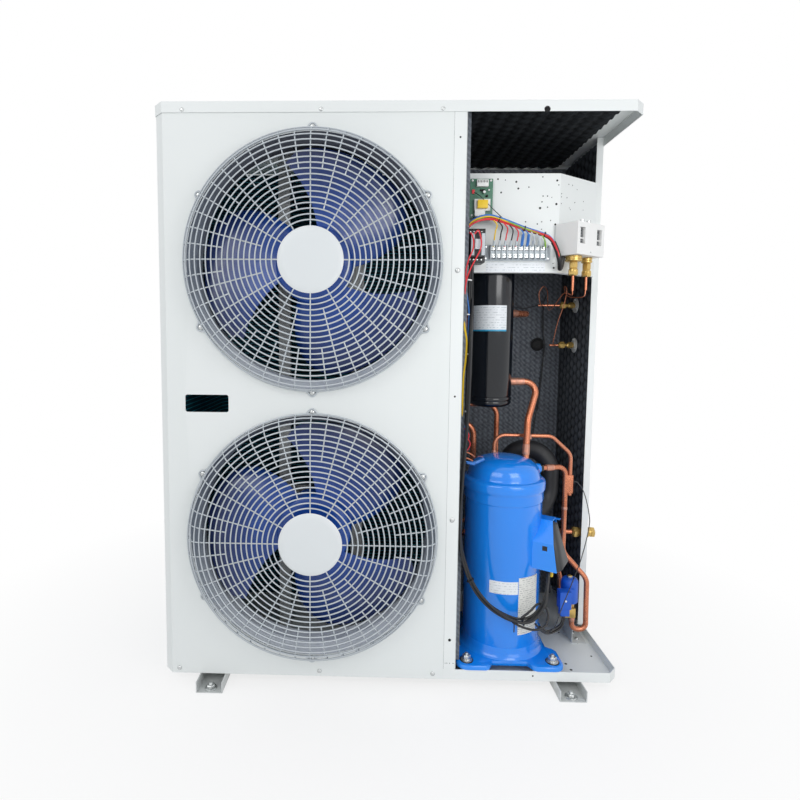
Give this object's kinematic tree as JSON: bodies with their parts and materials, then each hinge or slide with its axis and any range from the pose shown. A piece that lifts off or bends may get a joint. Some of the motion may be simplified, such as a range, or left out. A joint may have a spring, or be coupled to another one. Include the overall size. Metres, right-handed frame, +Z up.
{
  "type": "air-cooled refrigeration condensing unit",
  "caption": "Upright outdoor condensing unit: stacked axial fans behind wire guards beside an open service bay with compressor, pipework, oil separator and controls.",
  "frame": {"origin": "centre of the rectangle of the four foot-bolt holes, on the floor", "axes": "+X to the right seen from the fan side, +Y from the fan side to the back, +Z up"},
  "size_m": [1.076, 0.5164, 1.305],
  "materials": {
    "casing_paint": "satin light grey powder coat",
    "galvanised": "galvanised sheet",
    "guard_wire": "silver grey coated wire",
    "bellmouth_grey": "satin grey",
    "fan_plastic": "glossy dark blue",
    "steel": "zinc plated",
    "motor_paint": "satin dark grey",
    "fins": "blue-green coated fins",
    "foam": "matte black sound foam",
    "compressor_paint": "glossy bright blue",
    "black_paint": "glossy black",
    "rubber": "black rubber",
    "lagging": "black foam rubber sleeve",
    "copper": "drawn copper",
    "brass": "machined brass",
    "white_plastic": "off-white",
    "grey_plastic": "light grey",
    "black_plastic": "black",
    "circuit_board": "green laminate",
    "cable": "black sheath",
    "blue_plastic": "blue"
  },
  "bodies": {
    "cabinet": {"base_pan": "casing_paint", "left_foot_rail": "galvanised", "right_foot_rail": "galvanised", "top_cover": "casing_paint", "front_panel": "casing_paint", "front_post": "casing_paint", "mid_partition": "galvanised", "right_side_panel": "casing_paint", "rear_panel": "casing_paint", "top_foam": "foam", "rear_foam": "foam", "side_foam": "foam", "partition_foam": "foam", "condenser_fins": "fins", "coil_end_plates": "galvanised", "motor_frame": "galvanised", "upper_bellmouth": "bellmouth_grey", "lower_bellmouth": "bellmouth_grey", "upper_fan_motor": "motor_paint", "lower_fan_motor": "motor_paint", "upper_fan_guard": "guard_wire", "lower_fan_guard": "guard_wire", "compressor_shell": "compressor_paint", "compressor_foot_plate": "compressor_paint", "compressor_grommets": "rubber", "compressor_bolts": "steel", "terminal_box": "compressor_paint", "oil_separator": "black_paint", "separator_bracket": "galvanised", "discharge_line": "copper", "hot_gas_line": "copper", "arch_line": "copper", "injection_line": "copper", "suction_line": "lagging", "coil_lines": "copper", "solenoid_feed": "copper", "solenoid_valve": "brass", "solenoid_coil": "blue_plastic", "valve_bracket": "galvanised", "service_valves": "brass", "gauge_ports": "brass", "control_box": "casing_paint", "terminal_block": "grey_plastic", "controller_board": "circuit_board", "contactor_body": "white_plastic", "pressure_switch_case": "white_plastic", "pressure_switch_bellows": "brass", "capillary_tubes": "copper", "main_harness": "cable", "compressor_cable": "cable", "control_leads": "cable"},
    "upper_rotor": {"upper_fan": "fan_plastic", "upper_fan_shaft": "steel"},
    "lower_rotor": {"lower_fan": "fan_plastic", "lower_fan_shaft": "steel"},
    "contactor_plunger": {"contactor_armature": "grey_plastic"},
    "low_spindle": {"low_pressure_adjuster": "steel"},
    "high_spindle": {"high_pressure_adjuster": "steel"},
    "low_indicator": {"low_pressure_pointer": "white_plastic"},
    "high_indicator": {"high_pressure_pointer": "white_plastic"}
  },
  "joints": [
    {"name": "upper_fan_spin", "type": "hinge", "parent": "cabinet", "child": "upper_rotor", "pos_m": [-0.178, -0.15, 0.967], "axis": [0, 1, 0], "continuous": true},
    {"name": "lower_fan_spin", "type": "hinge", "parent": "cabinet", "child": "lower_rotor", "pos_m": [-0.178, -0.15, 0.354], "axis": [0, 1, 0], "continuous": true},
    {"name": "armature_slide", "type": "slide", "parent": "cabinet", "child": "contactor_plunger", "axis": [0, 1, 0], "range_m": [0, 0.004], "stiffness_N_per_m": 60, "springref_m": -0.002},
    {"name": "low_adjuster_turn", "type": "hinge", "parent": "cabinet", "child": "low_spindle", "pos_m": [0.42682, -0.14331, 1.066], "axis": [0, 0, 1], "range_deg": [-1080, 1800]},
    {"name": "high_adjuster_turn", "type": "hinge", "parent": "cabinet", "child": "high_spindle", "pos_m": [0.4466, -0.12972, 1.066], "axis": [0, 0, 1], "range_deg": [-1080, 1800]},
    {"name": "low_pointer_slide", "type": "slide", "parent": "cabinet", "child": "low_indicator", "axis": [0, 0, 1], "range_m": [-0.00943, 0.01572]},
    {"name": "high_pointer_slide", "type": "slide", "parent": "cabinet", "child": "high_indicator", "axis": [0, 0, 1], "range_m": [-0.00943, 0.01572]}
  ],
  "couplings": [
    {"joint": "low_pointer_slide", "follows": "low_adjuster_turn", "m_per_rad": 0.0005},
    {"joint": "high_pointer_slide", "follows": "high_adjuster_turn", "m_per_rad": 0.0005}
  ]
}
